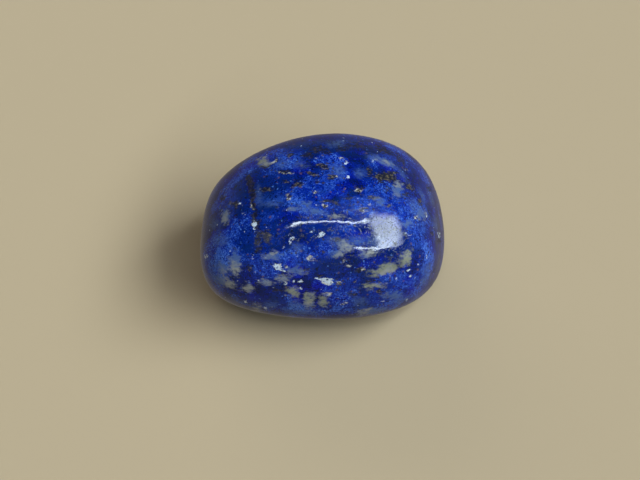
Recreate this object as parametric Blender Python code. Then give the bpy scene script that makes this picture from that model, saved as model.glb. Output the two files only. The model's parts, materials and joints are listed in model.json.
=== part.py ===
"""A tumbled lapis lazuli pebble: one solid polished stone, resting on its flattest side.

The chunk was broken off with flat faces, and tumbling wore every edge and corner round. The model is
made the same way: named flat faces bound the chunk, and one rounding exponent wears it down.
Metres, +Z up, +X along the stone's length, the front towards -Y, the origin under the middle of
the stone on the surface that it rests on.
"""

import bmesh
import bpy
import numpy as np

MM = 0.001

# Flat faces of the chunk: azimuth of the outward normal from +X towards +Y and its elevation, both in
# degrees, and the distance of the face from the middle of the stone in millimetres.
WORN_FACES = {
    "under": (0, -90, 9.7),
    "front": (-90, 16, 11.5),
    "front_shoulder": (-88, 50, 11.0),
    "front_under": (-90, -48, 11.3),
    "back": (90, 0, 11.6),
    "back_shoulder": (77, 43, 11.8),
    "back_left_shoulder": (114, 29, 11.0),
    "back_under": (90, -42, 11.9),
    "right_end": (0, 6, 14.6),
    "right_front": (-50, -18, 15.0),
    "right_back": (46, 25, 15.8),
    "right_top": (2, 39, 13.8),
    "right_rise": (4, 66, 11.2),
    "left_end": (177, -6, 14.3),
    "left_front": (-122, -22, 14.3),
    "left_back": (124, 24, 13.1),
    "left_top": (176, 30, 13.5),
    "left_rise": (178, 62, 11.0),
    "top": (90, 84, 9.9),
}
ROUNDING = 6.5  # higher leaves flatter faces and tighter corners
SEMI_AXES = (14.0 * MM, 11.0 * MM, 9.3 * MM)
SPHERE_SUBDIVISIONS = 5
REST_DEPTH = 0.10 * MM  # how much of the underside is worn to one plane

ULTRAMARINE = (0.012, 0.045, 0.30, 1.0)
POLISH_ROUGHNESS = 0.15


def outward_normals():
    """Unit normals of the worn faces, one row each."""
    azimuths, elevations, _ = np.radians(np.array(list(WORN_FACES.values()))).T
    level = np.cos(elevations)
    return np.column_stack((level * np.cos(azimuths), level * np.sin(azimuths), np.sin(elevations)))


def worn_chunk(points):
    """The points moved, each along its line from the middle, to the surface of the worn chunk."""
    distances = np.array([distance for _, _, distance in WORN_FACES.values()]) * MM
    reach = np.maximum(points @ outward_normals().T, 0.0) / distances
    gauge = (reach ** ROUNDING).sum(axis=1) ** (1.0 / ROUNDING)
    return points / gauge[:, None]


def polished_blue():
    """Deep ultramarine with a gem polish."""
    material = bpy.data.materials.new("polished_lapis")
    material.use_nodes = True
    shader = material.node_tree.nodes["Principled BSDF"]
    shader.inputs["Base Color"].default_value = ULTRAMARINE
    shader.inputs["Roughness"].default_value = POLISH_ROUGHNESS
    shader.inputs["Metallic"].default_value = 0.0
    return material


def make_stone(collection):
    """A ball of even triangles, drawn in to the worn chunk and set down on its flat."""
    mesh = bpy.data.meshes.new("stone")
    ball = bmesh.new()
    bmesh.ops.create_icosphere(ball, subdivisions=SPHERE_SUBDIVISIONS, radius=1.0)
    points = worn_chunk(np.array([vert.co for vert in ball.verts]) * SEMI_AXES)
    low, high = points.min(axis=0), points.max(axis=0)
    points -= ((low[0] + high[0]) / 2, (low[1] + high[1]) / 2, low[2] + REST_DEPTH)
    points[:, 2] = np.maximum(points[:, 2], 0.0)
    for vert, point in zip(ball.verts, points):
        vert.co = point
    ball.to_mesh(mesh)
    ball.free()
    mesh.shade_smooth()
    mesh.materials.append(polished_blue())
    stone = bpy.data.objects.new("stone", mesh)
    collection.objects.link(stone)


def main():
    for obj in list(bpy.data.objects):
        bpy.data.objects.remove(obj, do_unlink=True)
    collection = bpy.data.collections.new("lapis_lazuli")
    bpy.context.scene.collection.children.link(collection)
    make_stone(collection)


main()
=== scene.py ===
"""A tumbled lapis lazuli pebble on a pale table, seen from above its front as in the photograph.

The stone is one piece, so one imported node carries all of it. What the photograph shows on it is mineral:
blue lazurite, grey calcite, white flecks, dark seams and grains of pyrite, all polished to one skin.
"""

import json
import math

import bmesh
import bpy
import numpy as np
from mathutils import Matrix, Vector, noise
from mathutils.bvhtree import BVHTree

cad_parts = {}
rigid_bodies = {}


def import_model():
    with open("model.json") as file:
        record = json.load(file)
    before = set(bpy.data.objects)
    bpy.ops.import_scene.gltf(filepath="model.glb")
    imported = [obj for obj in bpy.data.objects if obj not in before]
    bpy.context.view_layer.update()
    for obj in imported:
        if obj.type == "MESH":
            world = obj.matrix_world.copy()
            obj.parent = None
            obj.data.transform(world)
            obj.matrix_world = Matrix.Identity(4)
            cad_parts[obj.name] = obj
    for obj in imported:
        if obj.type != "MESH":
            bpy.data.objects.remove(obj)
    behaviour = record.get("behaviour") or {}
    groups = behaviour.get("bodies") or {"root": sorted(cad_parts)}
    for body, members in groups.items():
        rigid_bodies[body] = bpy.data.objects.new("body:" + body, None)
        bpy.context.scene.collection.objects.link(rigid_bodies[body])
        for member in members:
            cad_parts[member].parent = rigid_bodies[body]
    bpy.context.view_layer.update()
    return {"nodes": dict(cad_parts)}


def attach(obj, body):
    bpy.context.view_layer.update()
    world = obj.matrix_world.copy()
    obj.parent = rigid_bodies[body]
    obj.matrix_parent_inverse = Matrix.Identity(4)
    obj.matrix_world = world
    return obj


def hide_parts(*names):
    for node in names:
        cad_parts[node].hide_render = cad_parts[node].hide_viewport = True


for obj in list(bpy.data.objects):
    bpy.data.objects.remove(obj, do_unlink=True)
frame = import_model()

# The camera stands before the stone's front and looks down on it, a little more than half way from level
# to straight above. A long lens far off keeps the outline nearly flat, as it is in the photograph.
MM = 0.001
CAMERA_ELEVATION = math.radians(50)
CAMERA_DISTANCE_MM = 280
CAMERA_LENS_MM = 135
CAMERA_SENSOR_MM = 36
CAMERA_AIM = Vector((-0.4, 0.0, 6.6)) * MM
PHOTO_WIDTH = 640
PHOTO_HEIGHT = 480
PHOTO_PIXEL_MM = CAMERA_SENSOR_MM / PHOTO_WIDTH * CAMERA_DISTANCE_MM / CAMERA_LENS_MM  # at the aim

towards_camera = Vector((0.0, -math.cos(CAMERA_ELEVATION), math.sin(CAMERA_ELEVATION)))
camera_right = Vector((1.0, 0.0, 0.0))
camera_up = towards_camera.cross(camera_right)
camera_eye = CAMERA_AIM + towards_camera * CAMERA_DISTANCE_MM * MM

camera = bpy.data.objects.new("camera", bpy.data.cameras.new("camera"))
camera.data.lens = CAMERA_LENS_MM
camera.data.sensor_width = CAMERA_SENSOR_MM
camera.location = camera_eye
camera.rotation_euler = towards_camera.to_track_quat("Z", "Y").to_euler()
bpy.context.scene.collection.objects.link(camera)
bpy.context.scene.camera = camera

# The stone is one polished pebble of lapis lazuli. Tumbling with grit wears every edge round, and the
# last polish leaves a skin like glass, a little lower where softer minerals come to the surface.
MERGE_DISTANCE = 0.001 * MM
ROUNDING_LEVELS = 2
TUMBLING_FACTOR = 0.5
TUMBLING_PASSES = 12

stone_solid = frame["nodes"]["stone"]
merged = bmesh.new()
merged.from_mesh(stone_solid.data)
bmesh.ops.remove_doubles(merged, verts=merged.verts[:], dist=MERGE_DISTANCE)
rough_mesh = bpy.data.meshes.new("polished_stone")
merged.to_mesh(rough_mesh)
merged.free()
stone = bpy.data.objects.new("polished_stone", rough_mesh)
bpy.context.scene.collection.objects.link(stone)
rounding = stone.modifiers.new("rounding", "SUBSURF")
rounding.levels = ROUNDING_LEVELS
tumbling = stone.modifiers.new("tumbling", "SMOOTH")
tumbling.factor = TUMBLING_FACTOR
tumbling.iterations = TUMBLING_PASSES
polished = bpy.data.meshes.new_from_object(stone.evaluated_get(bpy.context.evaluated_depsgraph_get()))
stone.modifiers.clear()
stone.data = polished
surface = BVHTree.FromObject(stone, bpy.context.evaluated_depsgraph_get())

# The minerals lie where the photograph shows them, and so do some stretches of painted sheen and shade. A
# mark is the x and y of its middle, its half width and its half height, all in pixels of the photograph,
# and its tilt in degrees, counter-clockwise.

# Milky haze, a little below the polish.
HAZE_MARKS = [
    (214, 224, 5, 5, 0), (271, 204, 7, 2, 5), (337, 144, 6, 3, 0), (300, 165, 6, 3, 0),
    (337.5, 170.7, 6, 5, 0), (360, 173, 5, 3.5, 0), (282, 164, 6, 3.5, 10), (374, 158, 6, 2.5, -20),
    (403, 176, 5, 1.6, -55), (422.6, 196, 5.5, 1.5, -65), (431, 198, 7, 2, -75), (436, 224, 2.2, 6, 0),
    (219.9, 239.9, 7, 6, 0), (226.9, 269.8, 6, 5, 0), (270.3, 304.9, 5, 2.5, 0),
    (236.5, 300.4, 6, 2.4, -20), (296, 304.3, 5, 3.5, 0), (296.7, 247.5, 5, 3.5, 0),
    (359.8, 301.7, 6, 3.5, 0), (426.4, 269.2, 3, 4.5, -40), (425, 279.4, 3, 7, -35), (399.6, 301, 7, 3, 20),
    (303, 312.5, 18, 2.6, -2), (338, 241, 9, 3, -8), (357, 241, 7, 4, 0), (414, 206, 3, 6, 20),
    (258, 195, 3, 8, 5), (375, 241, 8, 5, 0),
]
# Grey calcite at the surface.
CALCITE_MARKS = [
    (225.6, 216.7, 3.6, 6, 8), (296, 209, 9, 2.3, -5), (315, 211.5, 8, 2.2, -8), (335.6, 216.3, 7, 1.3, -6),
    (306, 204.5, 5.5, 2, -5), (385.6, 162.6, 8.5, 2.6, -24), (397.7, 189.4, 4.6, 7, -12),
    (379.2, 200.9, 4.5, 3, -30), (421.3, 214.3, 4.4, 4.2, 0), (407.3, 223.8, 5.5, 3, 0),
    (234.5, 263, 5.6, 12, 2), (221.5, 280.5, 7.5, 5.4, -30), (228.2, 283.9, 7, 2.8, -8),
    (221.8, 268.5, 4.6, 6.5, 15), (272.8, 255.8, 8.5, 3.6, 0), (265.8, 282, 6.5, 2.6, -4),
    (248.6, 288.3, 4.2, 3.2, 0), (282.4, 278.1, 5, 3.2, 0), (256.2, 308.1, 3.6, 4, 0),
    (344.5, 246.2, 6, 4.4, 0), (337.5, 253.2, 7, 3.4, 10), (295.4, 270.5, 9, 3.4, -4),
    (369, 252.6, 8.5, 3.2, 6), (393.3, 295.3, 7, 3.2, 0), (371, 311.3, 13, 3, 9),
    (308.8, 301.7, 5.2, 8.4, 2),
]
# Calcite with a green tint.
GREEN_MARKS = [
    (263.9, 161.9, 6, 3.8, -22), (406, 257.7, 4.4, 7, -25), (385.6, 269.2, 15, 4.6, 15),
    (372.9, 285.8, 10, 2.6, 4), (293.5, 292.2, 5, 4.2, -10), (323.5, 301, 3.8, 5, 0),
    (307.5, 297.8, 3, 3, 0),
]
# White flecks.
WHITE_MARKS = [
    (254.3, 223.7, 1.6, 3.7, 8), (254.3, 229.6, 0.8, 2.5, 0), (240.6, 203.3, 1.4, 1.3, 0),
    (244.1, 214.2, 1.3, 1, 0), (345.8, 163, 1.4, 2.2, 0), (347.7, 177.7, 2.2, 1.3, 0),
    (320.6, 235.1, 3.4, 1.6, 28), (311.7, 230.9, 1.9, 1.1, 10), (292.9, 237.3, 1.8, 1.1, 0),
    (288.4, 235, 1.8, 0.8, 40), (289.7, 241.8, 0.9, 1.5, 0), (327.3, 281.6, 5.4, 4.4, 0),
    (319.6, 278.1, 3, 1.3, 0), (277.6, 266.4, 4.5, 2.7, -25), (284, 271, 1.3, 1.3, 0),
    (439.2, 234.8, 1.4, 2.2, 15), (426.4, 215.5, 1, 1.8, 25), (409, 234.2, 2.5, 0.8, -5),
    (205.2, 256.4, 0.8, 1.7, 20), (254.6, 272, 1, 0.8, 0), (266.8, 276.4, 1, 0.8, 0),
    (418.8, 263.5, 0.9, 0.9, 0), (426.7, 256.8, 1, 1, 0), (396.1, 278.8, 1.1, 1.3, -30),
    (408, 270.5, 1.8, 0.8, 10), (409.8, 275.6, 1.3, 0.9, 30), (382.4, 301.7, 2, 0.8, 0),
    (406.7, 299.2, 1, 1.3, 0), (373.5, 161.3, 0.8, 0.8, 0), (316.5, 157.7, 0.7, 0.7, 0),
    (344.5, 188.6, 0.8, 0.7, 0), (300.2, 281.2, 1.7, 1.1, 0), (293.4, 281.6, 0.9, 1, 0),
    (285, 283.6, 1.8, 0.8, 0), (241, 285.4, 1.2, 0.7, 0), (245, 301, 1.3, 0.7, -20),
    (265.8, 308.5, 1.1, 0.7, 0), (300.5, 287.6, 1.3, 0.8, -20), (344.6, 302.6, 1.3, 1.1, 0),
    (297.6, 256.2, 1.1, 0.8, 0), (283, 248, 1, 1, 0), (207, 256, 0.8, 1.3, 0), (253, 256.5, 1.1, 1.1, 0),
]
# Cream flecks with a brown stain.
CREAM_MARKS = [
    (288.7, 198.8, 2.6, 3.2, 0), (324.7, 205.5, 2.6, 1.9, 0), (359.2, 189.9, 3.5, 1.7, 0),
    (316, 192.6, 1.4, 1.1, 0), (336.5, 176.2, 1.6, 0.8, 0), (285, 172.8, 6.2, 0.8, -2),
    (363, 211.5, 4, 0.7, 0), (274, 161.6, 0.9, 3.5, -50), (341.6, 158.6, 1.8, 1, 0),
    (339.6, 282, 1.9, 1.1, 0), (343.5, 262, 1.8, 0.8, 20), (348.3, 266, 2.6, 1, -10),
    (416, 217.5, 1.8, 1.4, 0), (405.5, 169.6, 1.1, 1.2, 0), (370.4, 204.5, 1.9, 0.7, 0),
    (344.5, 303, 2.6, 1.3, 0), (310, 257.5, 2.6, 1.4, 0), (314.5, 260.2, 1.9, 1.1, 0),
    (363.5, 269.5, 1.8, 1.9, 0), (356, 281, 1.1, 2.6, -30), (329, 293.5, 2.1, 1.1, 0),
    (251.5, 205.3, 0.8, 2.8, 15), (285.5, 266, 1.8, 1.4, 0),
]
# Seams and spots from black to brown.
DARK_MARKS = [
    (307, 155.4, 5, 4, 0), (319, 149, 8, 3.4, 0), (327.3, 153, 4, 2, 0), (342.6, 148.4, 6, 2.6, 10),
    (349, 145.6, 7, 2.4, 0), (360.5, 145.2, 5, 2.6, 0), (383.7, 150.5, 10, 2.4, -18),
    (401, 159.4, 6, 3, -42), (385.6, 177.3, 11.5, 5, 4), (285.2, 171, 8, 1.5, -2),
    (331, 201.3, 4, 1.6, -10), (336.2, 203.3, 4.5, 1.4, -8), (361.7, 209.4, 6, 1.2, 0),
    (264.5, 166.9, 6, 1.3, -15), (276.4, 159.6, 1.2, 4.4, -32), (405.4, 195.1, 4, 2.2, -15),
    (270, 167, 2.4, 1, 20), (439.2, 239.9, 2.2, 2.4, 0), (223, 197.6, 3, 3, 0), (283.5, 273.5, 3, 1.8, -20),
    (336, 281, 2, 2.4, 0), (387.5, 189.8, 3, 3, 0), (344.8, 260.2, 3, 1.4, 10), (368.4, 281.3, 3, 1.2, 10),
    (374.8, 278.4, 3, 1.2, 0), (429, 188.8, 2, 3, 15), (389.4, 258.4, 2.6, 1.5, 0), (321, 275.6, 5, 1, 0),
    (351.3, 254, 1.4, 1, 0), (336.5, 239.6, 3, 1.6, 10), (301.5, 237.3, 2, 1.4, 0),
    (398.4, 263.8, 2, 0.8, 20), (398.4, 267, 1.6, 0.7, 20), (305, 269.4, 4, 1, -4), (277, 290, 5, 2, 0),
    (305, 216.5, 6, 1.2, -6),
]
# Spots from black to the brass of pyrite.
BROWN_MARKS = [
    (384, 176.5, 10, 3.8, 4), (392.5, 173.2, 5, 2.2, 0), (233.9, 204, 4.8, 2.8, -5),
    (290.3, 154.1, 3.4, 2.4, 0), (323.5, 166.3, 6, 2.8, -14), (313.3, 174.6, 6.4, 2.1, -12),
    (332.4, 177.4, 4, 2, 0), (296, 185.4, 4.2, 2.6, 15), (301.8, 182.8, 3, 1.8, 10),
    (285.8, 180.9, 2.6, 1.5, 0), (317.8, 182, 2, 1.2, 0), (318.4, 193, 1.6, 1.2, 0),
    (369, 171.5, 2.6, 3.6, 0), (409.8, 187.5, 3.6, 1.9, -35), (371, 197, 4.4, 1.8, 5),
    (388.8, 206, 3, 2.4, 0), (349.6, 198.2, 3, 1.4, 0), (266.4, 236.7, 4.6, 6, 10),
    (265.5, 189.2, 5.4, 2, 0), (404.6, 234.8, 3.2, 1.2, -25), (393.9, 243.7, 2.6, 1.3, -35),
    (432.2, 232.8, 1.8, 3.6, 0), (351.5, 293.4, 4.2, 2.2, 0), (378.6, 290.9, 3.4, 2.2, 0),
    (419.4, 201.5, 2.4, 3, 0), (327.3, 229.7, 2, 1.2, 0), (338.6, 284.6, 2.4, 1.4, 0),
    (288.4, 195.8, 2.2, 1.2, 0), (324.8, 202, 2.4, 1.2, 0), (359, 188.4, 3, 0.9, 0),
    (282.2, 245.6, 1.8, 1.4, 0), (250, 267.4, 2, 3, 0), (359.5, 269.2, 2.6, 2, 0),
]
# The dark vein down the left of the front: points that it passes through from the top, and the half
# width of each stretch between two of them.
VEIN_PATH = [
    (247.3, 174.6), (248, 180), (251, 186), (251.8, 193.8), (253, 201.4), (254, 207), (255, 213.5),
    (253.4, 218.6), (256.6, 224.4), (258.1, 230.3), (258.1, 238), (258.8, 246), (257.4, 251),
]
VEIN_HALF_WIDTHS = (3.0, 3.9, 3.5, 2.8, 2.2, 2.3, 3.2, 4.2, 3.0, 4.0, 3.2, 3.0)
VEIN_OVERLAP = 1.5  # pixels that each stretch runs on past its ends
# Stretches of brighter blue, in part the stone's own and in part painted light: the tall one down the right
# end paints sheen where the window lights it, and the bands along the lower rim paint a pale reflection.
LIGHTER_BLUE_AND_SHEEN_MARKS = [
    (426, 225, 14, 50, 0), (350, 243, 14, 4, 0), (222, 268, 14, 22, 0), (310, 309, 70, 6, 0),
    (285, 202, 20, 5, -6), (396, 306, 24, 5, 18),
]
# Stretches of deeper blue, in part the stone's own and in part painted shade: the band along the top and
# the patch at the left paint shade on the sides away from the window, and the band between the two slits of
# light paints the dark reflection of the blind.
DEEPER_BLUE_AND_SHADE_MARKS = [
    (402, 281, 15, 3, 18), (376, 297, 14, 3, 6), (330, 192, 34, 14, 0), (236, 200, 12, 18, 0),
    (270, 218, 18, 7, 0), (330, 233, 30, 6, 0), (315, 263, 34, 9, 6), (330, 148, 60, 8, -2),
    (400, 165, 22, 7, -45), (388, 252, 16, 4, 8), (325, 285, 46, 5, 0),
]
MARK_DEPTH = 3.0  # millimetres, towards the camera and away from it
FAR_OUTSIDE = 9.0  # millimetres, more than any mark's soft edge
RAGGED_SEED = 5  # without one, this noise would take its seed from the clock
RAGGED_SIZE = 0.6
RAGGED_REACH = 0.22
# Where the surface turns away from the camera, minerals made from noise alone fade in.
HIDDEN_START = 0.75
HIDDEN_SLOPE = 2.6

noise.seed_set(RAGGED_SEED)
towards_view = Matrix((camera_right, camera_up, towards_camera)).transposed()
points = np.array([vert.co for vert in polished.vertices])
outward = np.array([vert.normal for vert in polished.vertices])
ragged = np.array([noise.noise_vector(Vector(point / (RAGGED_SIZE * MM))) for point in points])
view_points = (points / MM + ragged * RAGGED_REACH) @ np.array(towards_view)


def seen_at(x, y):
    """The point of the stone's surface behind a pixel of the photograph."""
    aside = camera_right * (x - PHOTO_WIDTH / 2) + camera_up * (PHOTO_HEIGHT / 2 - y)
    aside = aside * PHOTO_PIXEL_MM * MM
    ray = (aside - towards_camera * CAMERA_DISTANCE_MM * MM).normalized()
    point = surface.ray_cast(camera_eye, ray)[0]
    if point is None:
        point = surface.find_nearest(CAMERA_AIM + aside)[0]
    return point


def store(name, values):
    """Keeps one number for each point of the mesh, for the material to read by its name."""
    polished.attributes.new(name, "FLOAT", "POINT").data.foreach_set("value", values)


def spread_marks(name, marks):
    """Stores how far each point of the mesh lies outside the nearest mark, in millimetres."""
    nearest = np.full(len(points), FAR_OUTSIDE)
    for x, y, half_width, half_height, tilt in marks:
        centre = towards_view.transposed() @ (seen_at(x, y) / MM)
        size = np.array((half_width * PHOTO_PIXEL_MM, half_height * PHOTO_PIXEL_MM, MARK_DEPTH))
        level = math.cos(math.radians(tilt))
        rise = math.sin(math.radians(tilt))
        along = np.array(((level, -rise, 0), (rise, level, 0), (0, 0, 1)))
        distance = np.linalg.norm((view_points - centre) @ along / size, axis=1)
        nearest = np.minimum(nearest, (distance - 1) * math.sqrt(size[0] * size[1]))
    store(name, nearest)
    return nearest


vein_marks = []
for (x0, y0), (x1, y1), half_width in zip(VEIN_PATH, VEIN_PATH[1:], VEIN_HALF_WIDTHS):
    run = Vector((x1 - x0, y0 - y1))
    half_length = run.length / 2 + VEIN_OVERLAP
    tilt = math.degrees(math.atan2(run.y, run.x))
    vein_marks.append(((x0 + x1) / 2, (y0 + y1) / 2, half_length, half_width, tilt))

marks_by_name = {
    "lighter_blue_and_sheen": LIGHTER_BLUE_AND_SHEEN_MARKS,
    "deeper_blue_and_shade": DEEPER_BLUE_AND_SHADE_MARKS,
    "haze": HAZE_MARKS,
    "calcite": CALCITE_MARKS,
    "green": GREEN_MARKS,
    "white": WHITE_MARKS,
    "cream": CREAM_MARKS,
    "dark": DARK_MARKS,
    "brown": BROWN_MARKS,
    "vein": vein_marks,
}
outside = {name: spread_marks(name, marks) for name, marks in marks_by_name.items()}
facing = outward @ np.array(towards_camera)
store("unseen", np.clip(HIDDEN_START - facing * HIDDEN_SLOPE, 0, 1))

# The polish swells softly, and sinks along the vein and over the dark minerals, which wear faster. The
# flat that the stone rests on stays flat.
SWELL_SIZE = 3.2
SWELL_HEIGHT = 0.015 * MM
GROOVE_DEPTH = 0.03 * MM
VEIN_BANK = 0.2
SEAM_BANK = 0.3
FLAT_EDGE = 0.3  # millimetres above the table

swell = np.array([noise.noise(Vector(point / (SWELL_SIZE * MM))) for point in points]) * SWELL_HEIGHT
swell -= np.clip(0.5 - outside["vein"] / VEIN_BANK, 0, 1) * GROOVE_DEPTH
swell -= np.clip(0.3 - outside["dark"] / SEAM_BANK, 0, 1) * GROOVE_DEPTH / 2
swell *= np.clip(points[:, 2] / MM - FLAT_EDGE, 0.0, 1.0)
polished.vertices.foreach_set("co", (points + outward * swell[:, None]).ravel())
polished.update()
polished.shade_smooth()


class Flow:
    """What flows out of one socket of a shader node. Arithmetic on it adds the node for it."""

    def __init__(self, socket):
        self.socket = socket

    def node(self, kind, settings, inputs, output=0):
        """Adds a node, sets it, feeds it, and follows one of its outputs."""
        tree = self.socket.id_data
        made = tree.nodes.new(kind)
        for name, value in settings.items():
            setattr(made, name, value)
        for name, value in inputs.items():
            if isinstance(value, Flow):
                tree.links.new(value.socket, made.inputs[name])
            else:
                made.inputs[name].default_value = value
        return Flow(made.outputs[output])

    def reckon(self, operation, *terms):
        """Number arithmetic where every term is a number, and vector arithmetic otherwise."""
        flat = all(term.socket.type == "VALUE" for term in terms if isinstance(term, Flow))
        flat = flat and not any(isinstance(term, (tuple, Vector)) for term in terms)
        if flat:
            return self.node("ShaderNodeMath", {"operation": operation}, dict(enumerate(terms)))
        spread = [(term,) * 3 if isinstance(term, (int, float)) else term for term in terms]
        return self.node("ShaderNodeVectorMath", {"operation": operation}, dict(enumerate(spread)))

    def __add__(self, other):
        return self.reckon("ADD", self, other)

    def __radd__(self, other):
        return self.reckon("ADD", other, self)

    def __sub__(self, other):
        return self.reckon("SUBTRACT", self, other)

    def __rsub__(self, other):
        return self.reckon("SUBTRACT", other, self)

    def __mul__(self, other):
        return self.reckon("MULTIPLY", self, other)

    def __rmul__(self, other):
        return self.reckon("MULTIPLY", other, self)

    def most(self, other):
        return self.reckon("MAXIMUM", self, other)

    def ramp(self, start, end):
        """Goes smoothly from 0 at the start value to 1 at the end value, which may be the lower one."""
        ends = {"Value": self, "From Min": start, "From Max": end}
        return self.node("ShaderNodeMapRange", {"interpolation_type": "SMOOTHSTEP"}, ends)

    def between(self, under, over):
        """The colour under where this is 0, and the colour over where it is 1."""
        return self.node("ShaderNodeMix", {"data_type": "RGBA"}, {0: self, 6: under, 7: over}, 2)

    def grain(self, size, detail, roughness=0.55, output="Fac"):
        """Cloudy noise whose largest clouds are about the size in millimetres."""
        inputs = {"Vector": self, "Scale": 1 / size, "Detail": detail, "Roughness": roughness}
        return self.node("ShaderNodeTexNoise", {}, inputs, output)


def screen(red, green, blue):
    """The light of a colour that a screen shows with these levels from 0 to 255."""
    shown = []
    for level in (red / 255, green / 255, blue / 255):
        shown.append(((level + 0.055) / 1.055) ** 2.4 if level > 0.04 else level / 12.92)
    return (*shown, 1.0)


# The ground is lazurite in thin tilted layers, from navy to royal blue, with dark grit and pale threads
# in it. Sizes are in millimetres. A number added to a place moves to other noise, so no two fields agree.
NAVY = screen(2, 11, 48)
ROYAL_BLUE = screen(0, 13, 124)
TEAL = screen(5, 34, 94)
VIOLET = screen(24, 24, 98)
COBALT = screen(4, 34, 140)
WISP_BLUE = screen(42, 80, 164)
PALE_BLUE = screen(72, 110, 176)
LAYER_TURN = (math.radians(-62), math.radians(4), 0)
LAYER_STRETCH = (0.40, 0.55, 1.0)
DRIFT_SIZE = 4.5
DRIFT_REACH = 0.8
WARP_SIZE = 0.5
WARP_REACH = 0.35
CLOUD_SIZE = 1.3
TINT_SIZE = 1.1
MOTTLE_SIZE = 0.40
WISP_SIZE = 0.32
GRIT_SIZE = 0.26
FINE_GRIT_SIZE = 0.13

lapis = bpy.data.materials.new("lapis")
lapis.use_nodes = True
coordinates = lapis.node_tree.nodes.new("ShaderNodeTexCoord")
place = Flow(coordinates.outputs["Object"]) * (1 / MM)


def stored(name):
    """The numbers that store kept on the mesh under a name."""
    return place.node("ShaderNodeAttribute", {"attribute_name": name}, {}, "Fac")


drift = place.grain(DRIFT_SIZE, detail=2.0, output="Color") - 0.5
turned = place.node("ShaderNodeMapping", {}, {"Rotation": LAYER_TURN, "Scale": LAYER_STRETCH})
layers = turned + drift * DRIFT_REACH
warp = place.grain(WARP_SIZE, detail=2.0, output="Color") - 0.5
warped = place + warp * WARP_REACH
clouds = layers.grain(CLOUD_SIZE, detail=3.0, roughness=0.6)
mottle = layers.grain(MOTTLE_SIZE, detail=5.0, roughness=0.72)
coarse_grit = warped.grain(GRIT_SIZE, detail=3.0, roughness=0.75)
grit = coarse_grit * 0.65 + place.grain(FINE_GRIT_SIZE, detail=1.0) * 0.35
tint = (layers + 7.0).grain(TINT_SIZE, detail=3.0, roughness=0.6)
wisps = (layers + 3.0).grain(WISP_SIZE, detail=5.0, roughness=0.72)
# Where the lighter marks lie the blue is lifted, in part as painted sheen and reflection; where the deeper
# marks lie it is sunk, in part as painted shade.
lighter_blue_and_sheen = stored("lighter_blue_and_sheen").ramp(1.2, -1.6)
deeper_blue_and_shade = stored("deeper_blue_and_shade").ramp(1.0, -1.0)

tone = clouds * 0.38 + mottle * 0.40 + grit * 0.22 + lighter_blue_and_sheen * 0.02 - deeper_blue_and_shade * 0.02
speckle = grit * 0.6 + mottle * 0.4 + lighter_blue_and_sheen * 0.03 - deeper_blue_and_shade * 0.03
threads = wisps.ramp(0.455, 0.495) * wisps.ramp(0.545, 0.505)
colour = tone.ramp(0.42, 0.51).between(NAVY, ROYAL_BLUE)
colour = (tint.ramp(0.48, 0.62) * 0.7).between(colour, TEAL)
# Violet in places and milky streaks where the lighter marks lie: in part painted reflection and sheen.
colour = (tint.ramp(0.46, 0.34) * lighter_blue_and_sheen * 0.8).between(colour, VIOLET)
colour = (tone.ramp(0.50, 0.62) * 0.85).between(colour, COBALT)
colour = (lighter_blue_and_sheen * wisps.ramp(0.42, 0.56) * 0.50).between(colour, WISP_BLUE)
colour = (threads * (tone + lighter_blue_and_sheen * 0.05).ramp(0.47, 0.65) * 0.75).between(colour, WISP_BLUE)
colour = (speckle.ramp(0.555, 0.65) * 0.9).between(colour, PALE_BLUE)
colour = (grit.ramp(0.47, 0.38) * 0.9).between(colour, NAVY)

# Single grains of other minerals are strewn through the blue, denser in some regions than in others.
SEAM_BLACK = screen(10, 13, 28)
SEAM_BROWN = screen(50, 42, 36)
RUST = screen(84, 62, 64)
WHITE_FLECK = screen(172, 182, 192)
REGION_SIZE = 6.0

region = place.grain(REGION_SIZE, detail=2.0) - 0.5


def grains(size, reach, share):
    """Single grains: 1 inside the picked share of those, one in each cell of the size, 0 outside."""
    cells = warped.node("ShaderNodeTexVoronoi", {}, {"Vector": warped, "Scale": 1 / size}, "Distance")
    picked = warped.node("ShaderNodeTexVoronoi", {}, {"Vector": warped, "Scale": 1 / size}, "Color")
    chance = picked.node("ShaderNodeSeparateColor", {}, {"Color": picked}, "Red")
    return cells.ramp(reach, reach * 0.6) * (chance + region * 0.5).ramp(1.0 - share, 1.02 - share)


dark_grains = grains(size=0.58, reach=0.32, share=0.36)
rust_grains = grains(size=0.83, reach=0.22, share=0.20)
pale_grains = grains(size=0.51, reach=0.26, share=0.26)
white_grains = grains(size=0.80, reach=0.12, share=0.26)
colour = (dark_grains * 0.75).between(colour, mottle.ramp(0.45, 0.6).between(SEAM_BLACK, SEAM_BROWN))
colour = (rust_grains * 0.6).between(colour, RUST)
colour = (pale_grains * grit.ramp(0.4, 0.55) * 0.6).between(colour, PALE_BLUE)
colour = (white_grains * 0.7).between(colour, WHITE_FLECK)

# Frayed patches, flecks and seams take the places of the marks. Where the camera doesn't see the stone,
# patches made from noise alone take over.
SLATE_HAZE = screen(62, 82, 122)
GREY_CALCITE = screen(128, 127, 117)
GREEN_CALCITE = screen(112, 113, 93)
CREAM_FLECK = screen(166, 162, 150)
PYRITE = screen(88, 78, 54)
FRAY_SIZE = 0.40
FRAY_STRETCH = (0.6, 1.0, 1.0)
STAIN_SIZE = 0.26
STAIN_STRETCH = (0.7, 1.0, 1.0)

fray = (place * FRAY_STRETCH).grain(FRAY_SIZE, detail=5.0, roughness=0.72) - 0.5
stain = (place * STAIN_STRETCH).grain(STAIN_SIZE, detail=4.0, roughness=0.65)
unseen = stored("unseen")


def mark(name, frayed, softness):
    """The stored marks of one mineral, with frayed edges: 1 inside and 0 outside."""
    return (stored(name) + fray * frayed).ramp(softness, -softness)


def far_patches(field, size, roughness, frayed, start, end):
    """Patches of one mineral made from noise, where the camera doesn't see the stone."""
    patches = field.grain(size, detail=5.0, roughness=roughness)
    return (patches + fray * frayed).ramp(start, end) * unseen


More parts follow.
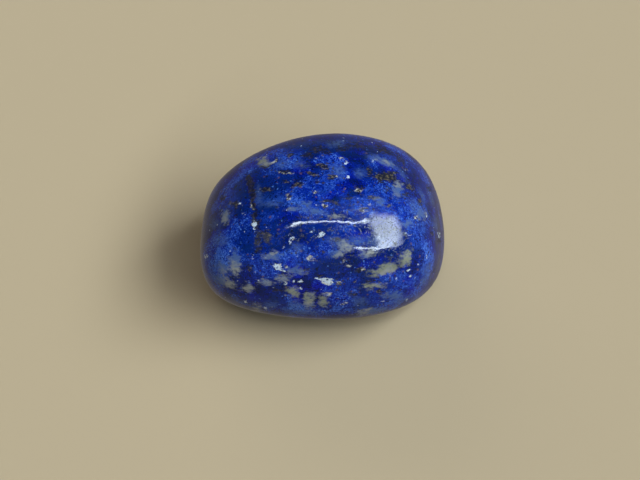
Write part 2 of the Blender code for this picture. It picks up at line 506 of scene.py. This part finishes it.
haze = mark("haze", frayed=1.6, softness=0.60)
calcite = mark("calcite", frayed=2.8, softness=0.40)
green = mark("green", frayed=2.6, softness=0.38)
white = mark("white", frayed=1.1, softness=0.07)
cream = mark("cream", frayed=1.0, softness=0.10)
dark = mark("dark", frayed=1.9, softness=0.20)
brown = mark("brown", frayed=1.7, softness=0.20)
vein = mark("vein", frayed=1.9, softness=0.20)
far_calcite = far_patches(layers + 11.0, size=1.5, roughness=0.65, frayed=0.22, start=0.565, end=0.625)
far_green = far_patches(layers + 17.0, size=1.9, roughness=0.65, frayed=0.22, start=0.585, end=0.64)
far_dark = far_patches(layers + 23.0, size=1.0, roughness=0.70, frayed=0.15, start=0.585, end=0.64)
far_pale = far_patches(warped + 5.0, size=1.1, roughness=0.70, frayed=0.15, start=0.635, end=0.665)

far_grey = mottle.ramp(0.4, 0.6).between(GREY_CALCITE, SLATE_HAZE)
near_grey = mottle.ramp(0.35, 0.6).between(GREY_CALCITE, SLATE_HAZE)
green_grey = mottle.ramp(0.4, 0.65).between(GREEN_CALCITE, GREY_CALCITE)
far_brass = stain.ramp(0.46, 0.62).between(SEAM_BLACK, PYRITE)
near_brass = stain.ramp(0.50, 0.60).between(SEAM_BLACK, PYRITE)
seam_brown = stain.ramp(0.52, 0.60).between(SEAM_BLACK, SEAM_BROWN)
vein_brown = stain.ramp(0.50, 0.60).between(SEAM_BLACK, SEAM_BROWN)
stained_cream = (grit * 0.5 + stain * 0.5).ramp(0.46, 0.54).between(SEAM_BROWN, CREAM_FLECK)
fleck_white = stain.ramp(0.62, 0.50).between(CREAM_FLECK, WHITE_FLECK)
colour = (far_calcite * stain.ramp(0.30, 0.56) * 0.9).between(colour, far_grey)
colour = (far_green * stain.ramp(0.30, 0.56) * 0.9).between(colour, green_grey)
colour = (far_dark * 0.85).between(colour, far_brass)
colour = (far_pale * grit.ramp(0.40, 0.50)).between(colour, fleck_white)
colour = (haze * stain.ramp(0.25, 0.65) * 0.8).between(colour, SLATE_HAZE)
colour = (calcite * stain.ramp(0.16, 0.52) * 0.93).between(colour, near_grey)
colour = (green * stain.ramp(0.16, 0.52) * 0.93).between(colour, green_grey)
colour = (dark * grit.ramp(0.62, 0.53) * 0.9).between(colour, seam_brown)
colour = (brown * 0.9).between(colour, near_brass)
colour = (vein * grit.ramp(0.70, 0.54) * 0.95).between(colour, vein_brown)
colour = (cream * 0.9).between(colour, stained_cream)
colour = (white * grit.ramp(0.40, 0.50)).between(colour, fleck_white)

# The polish is duller on calcite and in the seams. White flecks stand a hair above it, and seams and the
# darkest grit lie a hair below.
POLISH_ROUGHNESS = 0.05
CALCITE_DULLNESS = 0.08
SEAM_DULLNESS = 0.30
BUMP_STRENGTH = 0.28
BUMP_DEPTH = 0.03 * MM

seams = dark.most(brown).most(vein)
rough = POLISH_ROUGHNESS + calcite.most(green) * CALCITE_DULLNESS + seams * SEAM_DULLNESS
height = grit * 0.3 - grit.ramp(0.44, 0.36) - dark.most(vein) * 0.6 + white * 0.2
bump_inputs = {"Strength": BUMP_STRENGTH, "Distance": BUMP_DEPTH, "Height": height}
bump = place.node("ShaderNodeBump", {}, bump_inputs)
shader = lapis.node_tree.nodes["Principled BSDF"]
lapis.node_tree.links.new(colour.socket, shader.inputs["Base Color"])
lapis.node_tree.links.new(rough.socket, shader.inputs["Roughness"])
lapis.node_tree.links.new(bump.socket, shader.inputs["Normal"])
polished.materials.clear()
polished.materials.append(lapis)
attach(stone, "root")
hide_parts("stone")

# The table is a plain, pale, dull surface, and the stone lies loose on it, on its own flat.
# The table isn't mirrored in the stone's gloss, so the edge of the stone keeps its blue.
TABLE_SIZE = 4.0
TABLE_COLOUR = screen(160, 140, 110)
TABLE_ROUGHNESS = 0.8

bpy.ops.mesh.primitive_plane_add(size=TABLE_SIZE)
floor = bpy.context.active_object
floor.name = "table"
pale_top = bpy.data.materials.new("pale_table")
pale_top.use_nodes = True
pale_shader = pale_top.node_tree.nodes["Principled BSDF"]
pale_shader.inputs["Base Color"].default_value = TABLE_COLOUR
pale_shader.inputs["Roughness"].default_value = TABLE_ROUGHNESS
floor.data.materials.append(pale_top)
floor.visible_glossy = False

# A tall window at the stone's right front lights it in a dim room. A blind before its left half leaves
# a slit above, with a short turn down at the left end, and another below. They are patches of light in
# the room, whose edges run through two directions, each an azimuth and an elevation in degrees.
WINDOW_GLOW = 11.0  # on a scale where 1 shows as white
WALL_GLOW = 0.20
ROOM_GLOW = 0.015
OPEN_SHARE = 1.5  # of the window's glow, at the foot of its open half
OPEN_FADE = 0.6  # less than that at its head
SLIT_SHARE = 2.4
FOOT_SHARE = 2.0
DAYLIGHT = (0.86, 1.01, 1.13, 1)
LOW_TAN = (0.80, 0.70, 0.54, 1)
LEVEL_SOFTNESS = 0.6
CRISP_EDGE = 0.01
LEFT_EDGE = ((18, 30), (47.5, 62))
RIGHT_EDGE = ((108, 32), (74, 66))
SILL = ((42, 33.2), (8, 27))
FAR_SILL = ((113, 30), (49, 24))
BLIND_FOOT = ((42, 35.2), (8, 29))
HEAD_ELEVATION = 63


def direction(azimuth, elevation):
    """A direction by its azimuth from the stone's front towards its right end, and its elevation."""
    turn = math.radians(azimuth)
    level = math.cos(math.radians(elevation))
    return Vector((level * math.sin(turn), -level * math.cos(turn), math.sin(math.radians(elevation))))


world = bpy.data.worlds.new("room")
bpy.context.scene.world = world
world.use_nodes = True
sky = Flow(world.node_tree.nodes.new("ShaderNodeTexCoord").outputs["Generated"])


def right_of(low, high, softness):
    """1 to the right of the line between two directions in the sky, 0 to its left."""
    side = direction(*high).cross(direction(*low)).normalized()
    reach = sky.node("ShaderNodeVectorMath", {"operation": "DOT_PRODUCT"}, {0: sky, 1: side}, "Value")
    return reach.ramp(0.0, softness)


def above(elevation, softness, pole=(0, 0, 1)):
    """1 above an elevation in the sky, 0 below it, with the elevation measured from a pole."""
    height = sky.node("ShaderNodeVectorMath", {"operation": "DOT_PRODUCT"}, {0: sky, 1: pole}, "Value")
    return height.ramp(math.sin(math.radians(elevation)), math.sin(math.radians(elevation + softness)))


def level_band(low, high, pole=(0, 0, 1)):
    """1 between two elevations, 0 below and above them."""
    return above(low, LEVEL_SOFTNESS, pole) * (1.0 - above(high, LEVEL_SOFTNESS, pole))


def upright_band(left, right, right_softness=CRISP_EDGE):
    """1 between two azimuths, 0 to either side of them."""
    past_right = right_of((right, 0), (right, 60), right_softness)
    return right_of((left, 0), (left, 60), CRISP_EDGE) * (1.0 - past_right)


leaning = direction(-80, 85)
open_half = right_of(*LEFT_EDGE, 0.08) * right_of(*SILL, 0.02) * right_of(*FAR_SILL, 0.28)
open_half = open_half * (1.0 - above(HEAD_ELEVATION, 4.0)) * (1.0 - right_of(*RIGHT_EDGE, 0.20))
top_slit = level_band(60.8, 62.3, leaning) * upright_band(-4, 60, 0.1)
slit_end = level_band(60.6, 63.2) * upright_band(-14, -3)
slit_turn = level_band(56.5, 62.5) * upright_band(-15.2, -10.8)
foot_slit = right_of(*SILL, CRISP_EDGE) * (1.0 - right_of(*BLIND_FOOT, CRISP_EDGE))
foot_slit = foot_slit * upright_band(7.5, 34, 0.12)

open_glow = open_half * (OPEN_SHARE - above(30.5, 36) * OPEN_FADE)
slit_glow = top_slit.most(slit_turn).most(slit_end) * SLIT_SHARE
window = open_glow.most(slit_glow).most(foot_slit * FOOT_SHARE)
strength = window * WINDOW_GLOW + (1.0 - above(2, 30)) * WALL_GLOW + ROOM_GLOW
sky_colour = above(-3, 6).between(LOW_TAN, DAYLIGHT)
background = world.node_tree.nodes["Background"]
world.node_tree.links.new(sky_colour.socket, background.inputs["Color"])
world.node_tree.links.new(strength.socket, background.inputs["Strength"])

# The ceiling and the wall behind the stone are pale and throw a little light back, soft as from a wide
# disc. They are left out of the gloss, so that the window stays the bright place in it.
BOUNCE_SIZE = 1.0
BOUNCED_LIGHT = {  # place in metres and power in watts
    "ceiling": ((-0.3, -0.2, 1.0), 1.5),
    "far_wall": ((-0.45, 0.9, 0.32), 4.5),
}

for name, (place_of_light, power) in BOUNCED_LIGHT.items():
    fill = bpy.data.objects.new(name, bpy.data.lights.new(name, "AREA"))
    fill.data.shape = "DISK"
    fill.data.size = BOUNCE_SIZE
    fill.data.energy = power
    fill.location = place_of_light
    fill.rotation_euler = Vector(place_of_light).to_track_quat("Z", "Y").to_euler()
    fill.visible_camera = False
    fill.visible_glossy = False
    bpy.context.scene.collection.objects.link(fill)
bpy.context.scene.view_settings.view_transform = "Standard"
